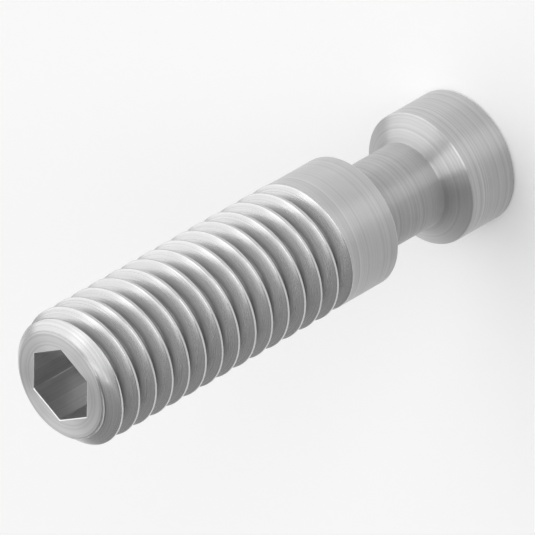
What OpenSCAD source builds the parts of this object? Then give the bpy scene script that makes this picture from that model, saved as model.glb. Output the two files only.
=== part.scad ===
// Clamping screw: a threaded end with a hexagon socket, a plain collar,
// a slim neck and a round head with a coned underside, turned from one bar.
// It stands on its head: the origin is the middle of the head's flat end
// and +Z runs up the axis to the socket. Lengths are in millimetres.

/* [Thread] */
// Major diameter of the thread, over its crests
thread_d = 6; // [5:0.25:8]
// Distance from one crest to the next
thread_pitch = 1; // [0.5:0.05:1.25]
// Length of the threaded end, from the collar to the end face
thread_l = 15; // [8:0.1:30]
// Width of the chamfer round the end face
end_chamfer_w = 0.65; // [0.3:0.05:0.8]
// Height of the chamfer round the end face
end_chamfer_h = 0.5; // [0.2:0.05:1]
// Angle about the axis at which the groove starts, beside the collar
groove_start = 55; // [0:5:355]
// Turns in which the groove's tool goes in to full depth
runout_turns = 0.25; // [0.1:0.05:1]

/* [Hexagon socket] */
// Width of the socket across its flats
socket_flats = 3; // [2:0.1:3.6]
// Depth of the socket's straight walls, at its corners
socket_depth = 3.5; // [1:0.1:6]
// Full angle of the cone at the socket's bottom
socket_cone = 120; // [90:1:150]

/* [Collar] */
// Diameter of the plain collar
collar_d = 5.9; // [5:0.05:8]
// Length of the plain collar
collar_l = 2.4; // [1:0.1:10]
// Width of the 45 degree edge break round the collar's shoulder
collar_break = 0.1; // [0.05:0.05:0.3]

/* [Neck] */
// Diameter of the neck
neck_d = 3.9; // [2.5:0.05:4.4]
// Length of the neck, from the head's cone to the collar
neck_l = 3.8; // [2:0.1:10]
// Radius of the fillet between the neck and the collar's shoulder
neck_fillet = 0.2; // [0.05:0.05:0.3]

/* [Head] */
// Diameter of the head
head_d = 6; // [5:0.05:8]
// Length of the head's straight side, chamfer included
head_l = 2.6; // [1:0.1:6]
// Height of the cone under the head, from the head's side in to the neck
head_cone_h = 0.7; // [0.2:0.05:1.5]
// Width of the 45 degree chamfer round the head's end
head_chamfer = 0.1; // [0.05:0.05:0.4]

/* [Hidden] */
$fn = 96;

// Heights of the steps along the axis, from the head's end upwards
cone_z = head_l;
neck_z = cone_z + head_cone_h;
collar_z = neck_z + neck_l;
thread_z = collar_z + collar_l;
end_z = thread_z + thread_l;

// Above the collar the bar widens over one pitch to the crests, or narrows to them at 45 degrees
shoulder_h = max(0, collar_d - thread_d) / 2;
crest_z = thread_z + (collar_d < thread_d ? thread_pitch : shoulder_h);

// Metric thread form: a sharp V with an eighth of its height off the crest and a sixth off the root
flank_angle = 30;
sharp_v_h = thread_pitch / 2 / tan(flank_angle);
crest_cut = sharp_v_h / 8;
root_cut = sharp_v_h / 6;
thread_depth = sharp_v_h - crest_cut - root_cut;
root_w = 2 * root_cut * tan(flank_angle);

// The groove's cutter stands proud of the crests, but not so far that its turns would meet
cutter_proud = crest_cut * 3 / 4;
cutter_w = root_w + 2 * (thread_depth + cutter_proud) * tan(flank_angle);
turns_past_end = 0.5;
steps_per_turn = 30;
groove_z = thread_z + shoulder_h + cutter_w / 2;
groove_turns = (end_z - groove_z) / thread_pitch + turns_past_end;
groove_steps = ceil(groove_turns * steps_per_turn);

hexagon_sides = 6;

// How far a cut goes past what it has to clear
overcut = 1;

// Cutter's section, as [distance outside the crests, height], in order round it
groove_section = [
    [cutter_proud, -cutter_w / 2],
    [cutter_proud, cutter_w / 2],
    [-thread_depth, root_w / 2],
    [-thread_depth, -root_w / 2],
];

// Distance of the cutter from its full depth after some turns: it swings in along a parabola
function runout_lift(turns) =
    (thread_depth + cutter_proud) * pow(max(0, 1 - turns / runout_turns), 2);

// Corners of the cutter's section after some turns of the right-hand helix
function groove_ring(turns) = [
    for (corner = groove_section)
        let (
            r = thread_d / 2 + corner[0] + runout_lift(turns),
            angle = groove_start + 360 * turns,
            z = groove_z + thread_pitch * turns + corner[1]
        )
        [r * cos(angle), r * sin(angle), z]
];

module thread_groove() {
    corners = len(groove_section);
    rings = [for (i = [0:groove_steps]) each groove_ring(i / steps_per_turn)];
    sides = [
        for (i = [0:groove_steps - 1], k = [0:corners - 1])
            let (a = i * corners + k, b = i * corners + (k + 1) % corners)
            each [[a, b, b + corners], [a, b + corners, a + corners]]
    ];
    first_cap = [for (k = [corners - 1:-1:0]) k];
    last_cap = [for (k = [0:corners - 1]) groove_steps * corners + k];
    polyhedron(points = rings, faces = concat(sides, [first_cap, last_cap]));
}

// Half of the screw's section, from the head's end up its side and neck to the socket's end face
module turned_outline() {
    polygon([
        [0, 0],
        [head_d / 2 - head_chamfer, 0],
        [head_d / 2, head_chamfer],
        [head_d / 2, cone_z],
        [neck_d / 2, neck_z],
        [neck_d / 2, collar_z],
        [collar_d / 2 - collar_break, collar_z],
        [collar_d / 2, collar_z + collar_break],
        [collar_d / 2, thread_z],
        [thread_d / 2, crest_z],
        [thread_d / 2, end_z - end_chamfer_h],
        [thread_d / 2 - end_chamfer_w, end_z],
        [0, end_z],
    ]);
}

// Metal that a round-nosed tool leaves between the neck and the collar's shoulder
module neck_fillet_outline() {
    translate([neck_d / 2, collar_z])
        difference() {
            translate([-neck_fillet, -neck_fillet])
                square(2 * neck_fillet);
            translate([neck_fillet, -neck_fillet])
                circle(r = neck_fillet);
        }
}

// Punched hexagon with a coned bottom
module hexagon_socket() {
    corner_r = socket_flats / 2 / cos(180 / hexagon_sides);
    cone_h = corner_r / tan(socket_cone / 2);
    bottom_z = end_z - socket_depth;
    intersection() {
        translate([0, 0, bottom_z - cone_h])
            cylinder(r = corner_r, h = cone_h + socket_depth + overcut, $fn = hexagon_sides);
        union() {
            translate([0, 0, bottom_z - cone_h])
                cylinder(r1 = 0, r2 = corner_r, h = cone_h);
            translate([0, 0, bottom_z])
                cylinder(r = corner_r + overcut, h = socket_depth + overcut);
        }
    }
}

module clamping_screw() {
    color("gainsboro")
        difference() {
            rotate_extrude() {
                turned_outline();
                neck_fillet_outline();
            }
            thread_groove();
            hexagon_socket();
        }
}

clamping_screw();
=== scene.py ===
"""Clamping screw in bright turned steel, on a pale floor.

The screw stands on its head, with its axis on Z. Shapes are worked out in millimetres and go into the mesh
in metres.
"""

import math

import bpy
import numpy as np
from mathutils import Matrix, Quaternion, Vector


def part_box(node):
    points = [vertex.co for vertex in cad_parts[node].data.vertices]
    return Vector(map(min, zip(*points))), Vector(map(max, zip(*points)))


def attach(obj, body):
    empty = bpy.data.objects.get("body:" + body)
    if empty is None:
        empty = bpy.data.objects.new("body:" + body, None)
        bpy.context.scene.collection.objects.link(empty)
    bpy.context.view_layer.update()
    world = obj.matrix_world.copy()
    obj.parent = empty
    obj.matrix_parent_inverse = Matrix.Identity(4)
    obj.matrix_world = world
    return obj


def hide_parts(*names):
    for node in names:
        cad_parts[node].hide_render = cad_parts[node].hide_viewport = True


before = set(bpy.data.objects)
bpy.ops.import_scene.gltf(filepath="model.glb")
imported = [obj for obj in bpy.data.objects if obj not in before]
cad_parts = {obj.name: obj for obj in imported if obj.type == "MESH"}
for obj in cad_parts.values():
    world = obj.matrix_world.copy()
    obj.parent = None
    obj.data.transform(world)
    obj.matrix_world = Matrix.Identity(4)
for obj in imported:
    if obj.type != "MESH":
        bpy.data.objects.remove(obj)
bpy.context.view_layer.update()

MM = 0.001
screw_low, screw_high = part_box("clamping_screw")

# Turned sizes, from the head's end up, as the solid has them
HEAD_R = (screw_high.x - screw_low.x) / 2 / MM
HEAD_L = 2.6
HEAD_CHAMFER = 0.1
HEAD_CONE_H = 0.7
NECK_R = 1.95
NECK_L = 3.8
NECK_FILLET = 0.2
COLLAR_R = 2.95
COLLAR_L = 2.4
COLLAR_BREAK = 0.1
NECK_Z = HEAD_L + HEAD_CONE_H
COLLAR_Z = NECK_Z + NECK_L
THREAD_Z = COLLAR_Z + COLLAR_L
END_Z = (screw_high.z - screw_low.z) / MM

# Metric thread: a sharp V with an eighth of its height off the crest and a sixth off the root
CREST_R = HEAD_R
PITCH = 1.0
FLANK = math.radians(30)
SHARP_V_H = PITCH / 2 / math.tan(FLANK)
CREST_CUT = SHARP_V_H / 8
ROOT_CUT = SHARP_V_H / 6
THREAD_DEPTH = SHARP_V_H - CREST_CUT - ROOT_CUT
TOOL_PROUD = CREST_CUT * 3 / 4
GROOVE_HALF_W = (ROOT_CUT + THREAD_DEPTH + TOOL_PROUD) * math.tan(FLANK)
GROOVE_Z = THREAD_Z + GROOVE_HALF_W
GROOVE_START = math.radians(55)
RUNOUT_TURNS = 0.25

# Chamfer round the end face, of which the last part belongs to the rounded rim
END_CHAMFER_W = 0.65
END_CHAMFER_H = 0.5
END_R = CREST_R - END_CHAMFER_W
RIM_SHARE = 1 / 8
RIM_Z = END_Z - RIM_SHARE * END_CHAMFER_H
RIM_R = END_R + RIM_SHARE * END_CHAMFER_W

# Hexagon socket, with a corner on +X
HEXAGON_SIDES = 6
SIXTH_TURN = math.pi / 3
FLATS_R = 1.5
CORNER_R = FLATS_R / math.cos(SIXTH_TURN / 2)
SOCKET_DEPTH = 3.5
SOCKET_CONE = math.radians(120)

# Radii that the tools and a tumbling leave on the edges
TURNED_EDGE = 0.05
CONE_EDGE = 0.08
CONE_FOOT = 0.12
CREST_EDGE = 0.045
END_EDGE = 0.06
MOUTH_EDGE = 0.05

# How far apart two surfaces are where they start to blend
CORNER_SOFTNESS = 0.02
CHAMFER_SOFTNESS = 0.03
GROOVE_SOFTNESS = 0.04

# Fineness of the mesh
COLUMNS = 144
CORNER_CROWDING = 0.75
ARC_STEP = math.radians(20)
LONGEST_STEP = 0.3
SPARE_STEPS = 2
SPARE_TURNS = 2
MERGE_DIGITS = 6

# Map for baking the finishes: strips of the profile side by side, each with a bare rim
MAP_NAME = "OFBake"
MAP_STRIPS = 3
MAP_RIM = 0.004

# Numbers of the finishes, in the order of the two tables below
TURNED, THREADED, FACED, PUNCHED = range(4)

# Steel: its tone, its roughness, how far gloss is stretched across the scores, and the darkening in its
# depths, partly oil and partly painted shade
SURFACES = {
    "turned_steel": {"tone": 0.63, "roughness": 0.40, "stretch": 0.95, "oil_and_painted_shade": 0.3},
    "threaded_steel": {"tone": 0.63, "roughness": 0.26, "stretch": 0.0, "oil_and_painted_shade": 0.9},
    "faced_steel": {"tone": 0.58, "roughness": 0.42, "stretch": 0.9, "oil_and_painted_shade": 0.0},
    # The socket's steel has a lighter tone than the rest: painted light that lifts the shade inside the
    # socket
    "punched_steel_painted_lighter": {"tone": 0.78, "roughness": 0.34, "stretch": 0.0, "oil_and_painted_shade": 0.1},
}

# Tool marks: their spacing and height in millimetres, and how much of them is grain
TOOL_MARKS = {
    "turned_steel": {"feed": 0.14, "unevenness": 0.6, "mark_height": 0.007},
    "threaded_steel": {"feed": 0.07, "unevenness": 0.8, "mark_height": 0.0015},
    "faced_steel": {"feed": 0.14, "unevenness": 0.5, "mark_height": 0.0045},
    "punched_steel_painted_lighter": {"feed": 0.12, "unevenness": 0.9, "mark_height": 0.0025},
}
GRAINS_PER_FEED = 1.3
STREAKS_PER_FEED = 0.9
STREAK_CONTRAST = 3.0

# Clouding of handled steel
PATCHES_PER_METRE = 260.0
SPECKS_PER_PATCH = 17
PATCH_CONTRAST = 2.5

# How much marks, patches and streaks count in the mottling
MARK_SHARE = 0.3
PATCH_SHARE = 0.3
STREAK_SHARE = 0.4

# Shades as shares of a finish's tone
CLEAN_SHADE = 1.08
MOTTLED_SHADE = 0.78
WORN_SHADE = 1.2
# Dark shade that the depths are darkened towards: partly oil, partly painted shade standing in for the shade
# in the recesses
OIL_AND_PAINTED_SHADE = 0.25

# Roughness that mottling spreads, wear takes away and oil adds
MOTTLED_SPREAD = 0.12
WORN_POLISH = 0.06
OILED_DULLNESS = 0.2

# Wear, and darkening of the depths that is partly oil and partly painted shade: the crests' bright bands, and
# how much of the depths' darkening the neck has
WORN_BAND = 0.04
LEAST_WEAR = 0.3
WEAR_SPREAD = 0.9
# Painted shade on the neck, standing in for the shade under the collar
NECK_PAINTED_SHADE = 0.9
OIL_AND_PAINTED_SHADE_POWER = 4.0

# How the drawing shows the screw, in pixels of its 535 x 535 frame
PICTURE_SIDE = 535
PIXELS_PER_MM = 24.0
AXIS_MIDDLE_PIXEL = (263.6, 268.8)
VIEW_AZIMUTH = math.radians(-15.5)
VIEW_ELEVATION = math.radians(37.9)
VIEW_ROLL = math.radians(119.8)
LENS = 1200
SENSOR = 36

# Light, as the brightness of what shines, where 1 is white
DOME_GLOW = 0.41
DOME_SLOPE = (0.30, 0.0, 0.16)
LAMP_DISTANCE = 0.50

# Floor of matt paper, a hair below the screw's head
FLOOR_TONE = 0.95
FLOOR_LIFT = 0.07
FLOOR_ROUGHNESS = 0.8
FLOOR_SHEEN = 0.2
FLOOR_HALF_SIDE = 1.5
FLOOR_GAP = 0.002 * MM


def rounded_path(corners, radii):
    """Points along a profile, and how far each lies on a rounded corner.

    Each inner corner becomes an arc of its radius R, which touches both straights at R tan(turn / 2) from
    the corner. Straights are cut into steps that shorten towards their ends as a cosine does. The second
    result is 0 on straights and rises as a half sine to 1 at an arc's middle, with a minus on hollow ones.
    """
    corners = np.asarray(corners, float)
    along = np.diff(corners, axis=0)
    along /= np.linalg.norm(along, axis=1, keepdims=True)
    pieces = []
    rounds = []
    start = corners[0]
    for corner, before, after, radius in zip(corners[1:-1], along[:-1], along[1:], radii):
        turn = math.atan2(before[0] * after[1] - before[1] * after[0], before @ after)
        hand = math.copysign(1, turn)
        touch = radius * math.tan(abs(turn) / 2)
        inward = hand * np.array([-before[1], before[0]])
        steps = math.ceil(abs(turn) / ARC_STEP)
        share = np.linspace(0, 1, steps + 1)
        swept = share[:, None] * abs(turn)
        centre = corner - touch * before + radius * inward
        arc = centre + radius * (np.sin(swept) * before - np.cos(swept) * inward)
        straight = cosine_steps(start, arc[0])
        pieces += [straight, arc[:-1]]
        rounds += [np.zeros(len(straight)), hand * np.sin(math.pi * share[:-1])]
        start = arc[-1]
    last = cosine_steps(start, corners[-1])
    pieces += [last, corners[-1:]]
    rounds += [np.zeros(len(last) + 1)]
    return np.concatenate(pieces), np.concatenate(rounds)


def cosine_steps(start, stop):
    """Points from start up to just before stop, close together near both."""
    count = SPARE_STEPS + math.ceil(np.linalg.norm(stop - start) / LONGEST_STEP)
    share = (1 - np.cos(np.linspace(0, math.pi, count + 1))) / 2
    return start + share[:-1, None] * (stop - start)


def soft_least(a, b, softness):
    """The lesser of two values, joined by a parabola where they are less than softness apart."""
    overlap = np.clip(1 - np.abs(a - b) / softness, 0, 1)
    return np.minimum(a, b) - softness * overlap**2 / 4


def smooth_rise(share):
    """From 0 to 1 along 3 s^2 - 2 s^3, level at both ends."""
    share = np.clip(share, 0, 1)
    return share**2 * (3 - 2 * share)


def column_angles():
    """Angles once round the axis, both ends included.

    Even steps a are shifted by crowding * sin(6 a) / 6, which crowds the columns at the hexagon's corners.
    """
    even = GROOVE_START + 2 * math.pi * np.arange(COLUMNS + 1) / COLUMNS
    return even - CORNER_CROWDING * np.sin(HEXAGON_SIDES * even) / HEXAGON_SIDES


def turned_rows():
    """Head, neck and collar: the turned profile, the same at every angle.

    Above the head's side, depth grows from the collar's radius in to the neck's, which paints shade on the
    neck between the collar and the head. Hollow corners are deep too, and get painted shade as well.
    """
    corners = [
        (0, 0),
        (HEAD_R - HEAD_CHAMFER, 0),
        (HEAD_R, HEAD_CHAMFER),
        (HEAD_R, HEAD_L),
        (NECK_R, NECK_Z),
        (NECK_R, COLLAR_Z),
        (COLLAR_R - COLLAR_BREAK, COLLAR_Z),
        (COLLAR_R, COLLAR_Z + COLLAR_BREAK),
        (COLLAR_R, THREAD_Z),
    ]
    radii = [TURNED_EDGE, TURNED_EDGE, CONE_EDGE, CONE_FOOT, NECK_FILLET, TURNED_EDGE, TURNED_EDGE]
    points, rounding = rounded_path(corners, radii)
    path = np.r_[0, np.cumsum(np.linalg.norm(np.diff(points, axis=0), axis=1))]
    wide = np.ones(COLUMNS + 1)
    sunk = np.clip((COLLAR_R - points[:, 0]) / (COLLAR_R - NECK_R), 0, 1) * (points[:, 1] > HEAD_L)
    # Painted shade: depth darkens the neck and the hollow corners as if shade fell there
    depth = np.maximum(NECK_PAINTED_SHADE * sunk, -rounding)
    return {
        "radius": points[:, :1] * wide,
        "height": points[:, 1:] * wide,
        "edge": np.clip(rounding, 0, 1)[:, None] * wide,
        "path": (path - path[-1])[:, None] * wide,
        "depth": depth[:, None] * wide,
        "finish": np.full((len(points), COLUMNS + 1), TURNED),
    }


def groove_rows():
    """Heights of the rows across one groove, from its middle: close together at the crests and the root."""
    crest_corner = PITCH / 2 - CREST_CUT * math.tan(FLANK)
    corners = [
        (-PITCH / 2, 0),
        (-crest_corner, 0),
        (0, -(SHARP_V_H - CREST_CUT)),
        (crest_corner, 0),
        (PITCH / 2, 0),
    ]
    points, _ = rounded_path(corners, [CREST_EDGE, ROOT_CUT, CREST_EDGE])
    return points[:-1, 0]


def groove_depth(angle, height):
    """Depth of the groove under the crests at each angle and height, negative where the tool is out.

    The groove's middle climbs one pitch a turn from its start. Across it the tool is a V, with an arc at
    its tip that touches both flanks. Over the run-out the tool goes in along a parabola, and before the
    start it is out of the bar.
    """
    share = (angle - GROOVE_START) / (2 * math.pi)
    turns = (height - GROOVE_Z) / PITCH - share
    turn = np.floor(turns + 0.5)
    across = np.abs(turns - turn) * PITCH
    flank = SHARP_V_H - CREST_CUT - across / math.tan(FLANK)
    tip = THREAD_DEPTH - ROOT_CUT + np.sqrt(np.clip(ROOT_CUT**2 - across**2, 0, None))
    cut = np.where(across < ROOT_CUT * math.cos(FLANK), tip, flank)
    drawn_out = np.clip(1 - (turn + share) / RUNOUT_TURNS, 0, 1) ** 2
    return cut - (THREAD_DEPTH + TOOL_PROUD) * drawn_out


def threaded_rows():
    """Thread: rows that climb with the helix, held between the collar and the end's chamfer.

    The blank widens smoothly from the collar to the crests over one pitch and narrows at the chamfer. The
    radius is the lesser of the blank's and the groove's. Where the groove leaves it whole, the widening
    keeps the collar's finish.
    """
    last_turn = math.ceil((END_Z - GROOVE_Z) / PITCH) + SPARE_TURNS
    climb = np.add.outer(np.arange(-SPARE_TURNS, last_turn), groove_rows() / PITCH).ravel()
    angle = column_angles()
    share = (angle - GROOVE_START) / (2 * math.pi)
    height = np.clip(GROOVE_Z + PITCH * np.add.outer(climb, share), THREAD_Z, RIM_Z)
    bar = COLLAR_R + (CREST_R - COLLAR_R) * smooth_rise((height - THREAD_Z) / PITCH)
    chamfer = END_R + (END_Z - height) * END_CHAMFER_W / END_CHAMFER_H
    blank = soft_least(bar, chamfer, CHAMFER_SOFTNESS)
    groove = CREST_R - groove_depth(angle, height)
    radius = soft_least(blank, groove, GROOVE_SOFTNESS)
    sunk = blank - radius
    return {
        "radius": radius,
        "height": height,
        "edge": np.clip(1 - np.abs(groove - blank) / WORN_BAND, 0, 1),
        "path": height - THREAD_Z + sunk,
        # Depth darkens the groove towards its root, partly as oil and partly as painted shade
        "depth": np.clip(sunk / THREAD_DEPTH, 0, 1),
        "finish": np.where((sunk > 0) | (height > THREAD_Z + PITCH), THREADED, TURNED),
    }


def hexagon_radius(angle):
    """Distance from the axis to the hexagon's walls, with slightly round corners."""
    from_corner = np.mod(angle + SIXTH_TURN / 2, SIXTH_TURN) - SIXTH_TURN / 2
    one_wall = np.cos(from_corner - SIXTH_TURN / 2)
    other_wall = np.cos(from_corner + SIXTH_TURN / 2)
    nearer = -soft_least(-one_wall, -other_wall, CORNER_SOFTNESS)
    return FLATS_R / nearer


def along_walls(angle):
    """Place along the hexagon's walls, to and fro: it rises on one wall and falls on the next."""
    wall = np.floor(angle / SIXTH_TURN)
    from_middle = angle - (wall + 0.5) * SIXTH_TURN
    return np.where(wall % 2 == 0, 1, -1) * FLATS_R * np.tan(from_middle)


def end_rows():
    """End face: from the chamfer over its edge and across the face to the socket's mouth.

    Across the face the rows change evenly from the round rim to the hexagon.
    """
    angle = column_angles()
    points, rounding = rounded_path([(RIM_R, RIM_Z), (END_R, END_Z), (0, END_Z)], [END_EDGE])
    rim = points[:, 0] > END_R - 2 * END_EDGE
    rim_z = points[rim, 1][:, None] * np.ones(COLUMNS + 1)
    groove = CREST_R - groove_depth(angle, rim_z)
    rim_radius = soft_least(points[rim, 0][:, None], groove, GROOVE_SOFTNESS)
    mouth = hexagon_radius(angle) * (1 + MOUTH_EDGE / FLATS_R)
    share = cosine_steps(np.zeros(1), np.ones(1))[1:]
    face_radius = np.concatenate([rim_radius[-1] + share * (mouth - rim_radius[-1]), mouth[None, :]])
    radius = np.concatenate([rim_radius, face_radius])
    edge = np.concatenate([rounding[rim], np.zeros(len(face_radius))])
    return {
        "radius": radius,
        "height": np.concatenate([rim_z, np.full(face_radius.shape, END_Z)]),
        "edge": edge[:, None] * np.ones(COLUMNS + 1),
        "path": CREST_R - radius,
        "depth": np.zeros(radius.shape),
        "finish": np.full(radius.shape, FACED),
    }


def socket_rows():
    """Hexagon socket: a rounded mouth, straight walls and a coned bottom.

    The walls end where they meet the cone, which runs from the hexagon's corners down to the axis, so they
    are deepest at the middle of each flat.
    """
    angle = column_angles()
    hexagon = hexagon_radius(angle)
    swept = np.linspace(0, math.pi / 2, math.ceil(math.pi / 2 / ARC_STEP) + 1)[:, None]
    mouth_r = hexagon * (1 + MOUTH_EDGE * (1 - np.sin(swept)) / FLATS_R)
    mouth_z = END_Z - MOUTH_EDGE * (1 - np.cos(swept)) * np.ones(COLUMNS + 1)
    cone_slope = 1 / math.tan(SOCKET_CONE / 2)
    foot_z = END_Z - SOCKET_DEPTH - (CORNER_R - hexagon) * cone_slope
    down = cosine_steps(np.zeros(1), np.full(1, SOCKET_DEPTH))[1:] / SOCKET_DEPTH
    wall_z = mouth_z[-1] + down * (foot_z - mouth_z[-1])
    inward = cosine_steps(np.zeros(1), np.full(1, CORNER_R)) / CORNER_R
    cone_r = np.concatenate([hexagon * (1 - inward), np.zeros((1, COLUMNS + 1))])
    radius = np.concatenate([mouth_r, hexagon * np.ones_like(down), cone_r])
    height = np.concatenate([mouth_z, wall_z, foot_z - (hexagon - cone_r) * cone_slope])
    edge = np.zeros(radius.shape)
    edge[: len(swept)] = np.sin(2 * swept)
    return {
        "radius": radius,
        "height": height,
        "edge": edge,
        "path": along_walls(angle) * np.ones(radius.shape),
        # Depth darkens the socket towards its bottom, partly as oil and partly as painted shade
        "depth": np.clip((END_Z - height) / SOCKET_DEPTH, 0, 1),
        "finish": np.full(radius.shape, PUNCHED),
    }


def screw_mesh(bands):
    """One closed mesh from bands of rows, in which a face has the highest finish of its corners.

    All rows stand one above the other on a grid of rows by columns. Points that coincide, along the seam,
    at the poles and where rows were held back, become one, and triangles that lost an edge are dropped.
    """
    joined = {key: np.concatenate([band[key] for band in bands]) for key in bands[0]}
    angle = column_angles()
    grid = np.stack(
        [
            joined["radius"] * np.cos(angle),
            joined["radius"] * np.sin(angle),
            joined["height"],
        ],
        axis=-1,
    )
    points = grid.reshape(-1, 3)
    _, kept, index = np.unique(points.round(MERGE_DIGITS), axis=0, return_index=True, return_inverse=True)
    index = index.reshape(joined["radius"].shape)
    a, b, c, d = grid_corners(index)
    triangles = np.stack([np.stack([a, b, c], -1), np.stack([a, c, d], -1)], 2).reshape(-1, 3)
    finish = np.repeat(np.maximum.reduce(grid_corners(joined["finish"])).ravel(), 2)
    whole = (triangles != np.roll(triangles, 1, axis=1)).all(axis=1)
    mesh = bpy.data.meshes.new("clamping_screw_body")
    mesh.from_pydata((points[kept] * MM).tolist(), [], triangles[whole].tolist())
    mesh.polygons.foreach_set("use_smooth", np.ones(whole.sum(), bool))
    mesh.polygons.foreach_set("material_index", finish[whole].astype(np.int32))
    for key in ("edge", "path", "depth"):
        layer = mesh.attributes.new(key, "FLOAT", "POINT")
        layer.data.foreach_set("value", joined[key].ravel()[kept].astype(np.float32))
    places = mesh.uv_layers.new(name=MAP_NAME)
    places.uv.foreach_set("vector", strip_places(grid)[whole].astype(np.float32).ravel())
    mesh.update()
    return mesh


def strip_places(grid):
    """Where the corners of each cell's two triangles lie on the map.

    Columns run across a strip and the mean length along the profile runs up it. A new strip starts after
    each equal share of that length.
    """
    steps = np.linalg.norm(np.diff(grid, axis=0), axis=2).mean(axis=1)
    length = np.append(0, np.cumsum(steps))
    strip = np.floor(length[:-1] / length[-1] * MAP_STRIPS).astype(int)
    first = np.searchsorted(strip, np.arange(MAP_STRIPS))
    last = np.append(first[1:], len(steps))
    start = length[first][strip]
    reach = length[last][strip] - start
    low = MAP_RIM + (1 - 2 * MAP_RIM) * (length[:-1] - start) / reach
    high = MAP_RIM + (1 - 2 * MAP_RIM) * (length[1:] - start) / reach
    share = np.linspace(MAP_RIM, 1 / MAP_STRIPS - MAP_RIM, grid.shape[1])
    across = np.add.outer(strip / MAP_STRIPS, share)
    left = across[:, :-1]
    right = across[:, 1:]
    low = low[:, None] * np.ones(left.shape)
    high = high[:, None] * np.ones(left.shape)
    sideways = np.stack([left, right, right, left, right, left], axis=-1)
    upward = np.stack([low, low, high, low, high, high], axis=-1)
    return np.stack([sideways, upward], axis=-1).reshape(-1, 3, 2)


def grid_corners(grid):
    """Values at the four corners of each cell of a grid, in order round the cell."""
    return grid[:-1, :-1], grid[:-1, 1:], grid[1:, 1:], grid[1:, :-1]


def add_node(tree, kind, **settings):
    """New node with its properties set by name."""
    made = tree.nodes.new(kind)
    for name, value in settings.items():
        setattr(made, name, value)
    return made


def plug(tree, socket, value):
    """Link an output to a socket, or set the socket's own value."""
    if isinstance(value, bpy.types.NodeSocket):
        tree.links.new(value, socket)
    else:
        socket.default_value = value


def value_math(tree, operation, *values, **settings):
    """Output of a Math node on sockets or plain numbers."""
    made = add_node(tree, "ShaderNodeMath", operation=operation, **settings)
    for socket, value in zip(made.inputs, values):
        plug(tree, socket, value)
    return made.outputs[0]


def noise(tree, scale, detail, **place):
    """Output of a noise, in one dimension when it is placed by W and in three when by Vector."""
    made = add_node(tree, "ShaderNodeTexNoise", noise_dimensions="1D" if "W" in place else "3D")
    made.inputs["Detail"].default_value = detail
    plug(tree, made.inputs["Scale"], scale)
    for socket, value in place.items():
        tree.links.new(value, made.inputs[socket])
    return made.outputs[0]


def more_contrast(tree, value, gain):
    """A noise spread about its middle by a gain, held between 0 and 1."""
    return value_math(tree, "MULTIPLY_ADD", value, gain, (1 - gain) / 2, use_clamp=True)


def grey(brightness):
    """Plain grey as a colour socket takes it."""
    return (brightness, brightness, brightness, 1)


def blend_colours(tree, share, first, second):
    """Output of a colour mix: first where share is 0, second where it is 1.

    The node has sockets for each type of value, and those for colours are found by their places.
    """
    made = add_node(tree, "ShaderNodeMix", data_type="RGBA")
    for socket, value in zip((made.inputs[0], made.inputs[6], made.inputs[7]), (share, first, second)):
        plug(tree, socket, value)
    return made.outputs[2]


def effect_group(name, inputs, outputs):
    """Empty node group with float sockets, and its two end nodes."""
    tree = bpy.data.node_groups.new(name, "ShaderNodeTree")
    for socket in inputs:
        tree.interface.new_socket(name=socket, in_out="INPUT", socket_type="NodeSocketFloat")
    for socket in outputs:
        tree.interface.new_socket(name=socket, in_out="OUTPUT", socket_type="NodeSocketFloat")
    return tree, tree.nodes.new("NodeGroupInput"), tree.nodes.new("NodeGroupOutput")


def tool_marks_group():
    """Marks that a tool leaves along its path: even feed lines, mixed with a grain of the same width."""
    tree, given, result = effect_group("tool_marks", ["Path", "Feed", "Unevenness"], ["Height", "Streak"])
    steps = value_math(tree, "DIVIDE", given.outputs["Path"], given.outputs["Feed"])
    wave = value_math(tree, "SINE", value_math(tree, "MULTIPLY", steps, 2 * math.pi))
    even = value_math(tree, "MULTIPLY_ADD", wave, 0.5, 0.5)
    grain = noise(tree, GRAINS_PER_FEED, detail=4, W=steps)
    uneven_part = value_math(tree, "SUBTRACT", grain, even)
    height = value_math(tree, "MULTIPLY_ADD", uneven_part, given.outputs["Unevenness"], even)
    tree.links.new(height, result.inputs["Height"])
    streak = more_contrast(tree, noise(tree, STREAKS_PER_FEED, detail=4, W=steps), STREAK_CONTRAST)
    tree.links.new(streak, result.inputs["Streak"])


def clouding_group():
    """Slow and fine unevenness of handled steel, from two noises on the screw's own coordinates."""
    tree, given, result = effect_group("clouding", ["Patches per metre"], ["Patches", "Specks"])
    place = add_node(tree, "ShaderNodeTexCoord").outputs["Object"]
    per_metre = given.outputs["Patches per metre"]
    patches = more_contrast(tree, noise(tree, per_metre, detail=3, Vector=place), PATCH_CONTRAST)
    tree.links.new(patches, result.inputs["Patches"])
    finer = value_math(tree, "MULTIPLY", per_metre, SPECKS_PER_PATCH)
    tree.links.new(noise(tree, finer, detail=2, Vector=place), result.inputs["Specks"])


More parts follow.
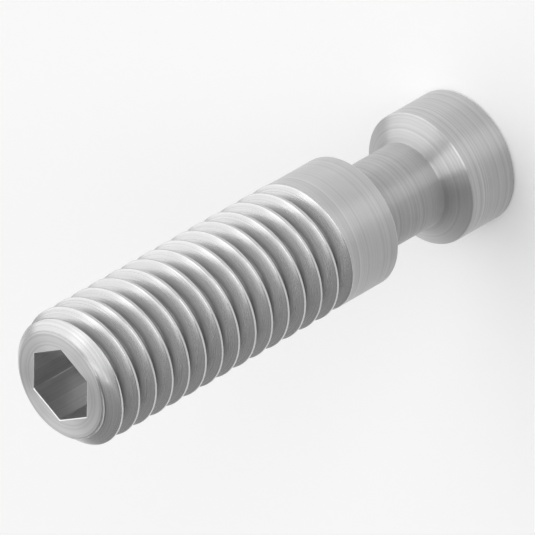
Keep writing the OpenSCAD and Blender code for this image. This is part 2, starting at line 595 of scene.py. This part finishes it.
def steel_finish(name, tone, roughness, stretch, oil_and_painted_shade, feed, unevenness, mark_height):
    """Bright steel: tool marks along the path, clouding, polished edges, and darkening in the depths that is
    partly oil and partly painted shade.

    The tool's fine scores run round the axis, so gloss is stretched across them, a quarter turn from there.
    """
    material = bpy.data.materials.new(name)
    material.use_nodes = True
    tree = material.node_tree
    shader = tree.nodes["Principled BSDF"]
    shader.inputs["Metallic"].default_value = 1.0
    shader.inputs["Anisotropic"].default_value = stretch
    shader.inputs["Anisotropic Rotation"].default_value = 0.25
    round_axis = add_node(tree, "ShaderNodeTangent", direction_type="RADIAL", axis="Z")
    tree.links.new(round_axis.outputs[0], shader.inputs["Tangent"])
    layers = {}
    for key in ("edge", "path", "depth"):
        layers[key] = add_node(tree, "ShaderNodeAttribute", attribute_name=key).outputs["Fac"]
    marks = add_node(tree, "ShaderNodeGroup", node_tree=bpy.data.node_groups["tool_marks"])
    plug(tree, marks.inputs["Path"], layers["path"])
    plug(tree, marks.inputs["Feed"], feed)
    plug(tree, marks.inputs["Unevenness"], unevenness)
    clouds = add_node(tree, "ShaderNodeGroup", node_tree=bpy.data.node_groups["clouding"])
    plug(tree, clouds.inputs["Patches per metre"], PATCHES_PER_METRE)

    wear = value_math(tree, "MULTIPLY_ADD", clouds.outputs["Specks"], WEAR_SPREAD, LEAST_WEAR)
    worn = value_math(tree, "MULTIPLY", layers["edge"], wear)
    mottled = value_math(tree, "MULTIPLY", marks.outputs["Height"], MARK_SHARE)
    mottled = value_math(tree, "MULTIPLY_ADD", clouds.outputs["Patches"], PATCH_SHARE, mottled)
    mottled = value_math(tree, "MULTIPLY_ADD", marks.outputs["Streak"], STREAK_SHARE, mottled)
    # Painted shade with oil: the deepest places are darkened, partly for oil and partly standing in for the
    # shade that falls there
    deepest = value_math(tree, "POWER", layers["depth"], OIL_AND_PAINTED_SHADE_POWER)
    oil_and_painted_shade_mask = value_math(tree, "MULTIPLY", deepest, oil_and_painted_shade)
    colour = blend_colours(tree, mottled, grey(CLEAN_SHADE * tone), grey(MOTTLED_SHADE * tone))
    colour = blend_colours(tree, worn, colour, grey(WORN_SHADE * tone))
    colour = blend_colours(tree, oil_and_painted_shade_mask, colour, grey(OIL_AND_PAINTED_SHADE * tone))
    tree.links.new(colour, shader.inputs["Base Color"])

    rough = value_math(tree, "MULTIPLY_ADD", mottled, MOTTLED_SPREAD, roughness - MOTTLED_SPREAD / 2)
    rough = value_math(tree, "MULTIPLY_ADD", worn, -WORN_POLISH, rough)
    rough = value_math(tree, "MULTIPLY_ADD", oil_and_painted_shade_mask, OILED_DULLNESS, rough)
    tree.links.new(rough, shader.inputs["Roughness"])

    bump = add_node(tree, "ShaderNodeBump")
    bump.inputs["Strength"].default_value = 1.0
    bump.inputs["Distance"].default_value = mark_height * MM
    tree.links.new(marks.outputs["Height"], bump.inputs["Height"])
    tree.links.new(bump.outputs["Normal"], shader.inputs["Normal"])
    return material


def make_screw():
    """The screw's mesh with its four finishes, in place of the solid."""
    tool_marks_group()
    clouding_group()
    bands = [turned_rows(), threaded_rows(), end_rows(), socket_rows()]
    screw = bpy.data.objects.new("clamping_screw_body", screw_mesh(bands))
    bpy.context.scene.collection.objects.link(screw)
    for name in SURFACES:
        screw.data.materials.append(steel_finish(name, **SURFACES[name], **TOOL_MARKS[name]))
    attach(screw, "root")
    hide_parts("clamping_screw")


def make_floor():
    """Wide white floor under the screw's head, lifted a little where the camera or the steel sees it."""
    corners = np.array([(-1, -1), (1, -1), (1, 1), (-1, 1)]) * FLOOR_HALF_SIDE
    level = np.full((4, 1), screw_low.z - FLOOR_GAP)
    mesh = bpy.data.meshes.new("floor")
    mesh.from_pydata(np.hstack([corners, level]).tolist(), [], [(0, 1, 2, 3)])
    floor = bpy.data.objects.new("floor", mesh)
    bpy.context.scene.collection.objects.link(floor)
    material = bpy.data.materials.new("floor_paper")
    material.use_nodes = True
    tree = material.node_tree
    shader = tree.nodes["Principled BSDF"]
    shader.inputs["Base Color"].default_value = grey(FLOOR_TONE)
    shader.inputs["Roughness"].default_value = FLOOR_ROUGHNESS
    shader.inputs["Specular IOR Level"].default_value = FLOOR_SHEEN
    shader.inputs["Emission Color"].default_value = grey(1)
    rays = add_node(tree, "ShaderNodeLightPath").outputs
    seen = value_math(tree, "ADD", rays["Is Camera Ray"], rays["Is Glossy Ray"])
    seen = value_math(tree, "ADD", seen, rays["Is Transmission Ray"])
    lift = value_math(tree, "MULTIPLY", seen, FLOOR_LIFT)
    tree.links.new(lift, shader.inputs["Emission Strength"])
    mesh.materials.append(material)


def softbox(name, towards, side, glow):
    """Square lamp that looks at the screw's middle from one direction.

    A lamp of W watts and A square metres has the brightness W / (pi A).
    """
    middle = Vector((0, 0, END_Z / 2 * MM))
    out = Vector(towards).normalized()
    lamp = bpy.data.lights.new(name, "AREA")
    lamp.shape = "SQUARE"
    lamp.size = side
    lamp.energy = glow * math.pi * side**2
    holder = bpy.data.objects.new(name, lamp)
    holder.location = middle + LAMP_DISTANCE * out
    holder.rotation_euler = (-out).to_track_quat("-Z", "Y").to_euler()
    bpy.context.scene.collection.objects.link(holder)


def light_scene():
    """Soft studio light: softboxes on four sides, in a dome that is brighter overhead and behind the key."""
    softbox("overhead_softbox", towards=(0.10, -0.15, 1.0), side=0.45, glow=0.60)
    softbox("key_softbox", towards=(0.90, 0.0, 0.62), side=0.75, glow=0.62)
    softbox("back_softbox", towards=(0.21, 0.76, 0.61), side=0.30, glow=0.50)
    softbox("front_softbox", towards=(-0.21, -0.76, 0.61), side=0.30, glow=1.80)
    world = bpy.data.worlds.new("studio")
    bpy.context.scene.world = world
    world.use_nodes = True
    tree = world.node_tree
    slope = add_node(tree, "ShaderNodeVectorMath", operation="DOT_PRODUCT")
    slope.inputs[1].default_value = DOME_SLOPE
    tree.links.new(add_node(tree, "ShaderNodeTexCoord").outputs["Generated"], slope.inputs[0])
    glow = value_math(tree, "ADD", slope.outputs["Value"], DOME_GLOW)
    tree.links.new(glow, tree.nodes["Background"].inputs["Color"])


def place_camera():
    """Long lens that looks down at the drawing's angle, rolled so that the axis leans as it is drawn."""
    back = Vector(
        (
            math.sin(VIEW_AZIMUTH) * math.cos(VIEW_ELEVATION),
            -math.cos(VIEW_AZIMUTH) * math.cos(VIEW_ELEVATION),
            math.sin(VIEW_ELEVATION),
        )
    )
    turn = (-back).to_track_quat("-Z", "Y") @ Quaternion((0, 0, 1), -VIEW_ROLL)
    across = (PICTURE_SIDE / 2 - AXIS_MIDDLE_PIXEL[0]) / PIXELS_PER_MM
    up = (AXIS_MIDDLE_PIXEL[1] - PICTURE_SIDE / 2) / PIXELS_PER_MM
    aim = Vector((0, 0, END_Z / 2)) + turn @ Vector((across, up, 0))
    distance = PICTURE_SIDE / PIXELS_PER_MM * LENS / SENSOR
    lens = bpy.data.cameras.new("camera")
    lens.lens = LENS
    lens.sensor_width = SENSOR
    camera = bpy.data.objects.new("camera", lens)
    camera.location = (aim + distance * back) * MM
    camera.rotation_mode = "QUATERNION"
    camera.rotation_quaternion = turn
    bpy.context.scene.collection.objects.link(camera)
    bpy.context.scene.camera = camera


make_screw()
make_floor()
light_scene()
place_camera()
bpy.context.scene.view_settings.view_transform = "Standard"
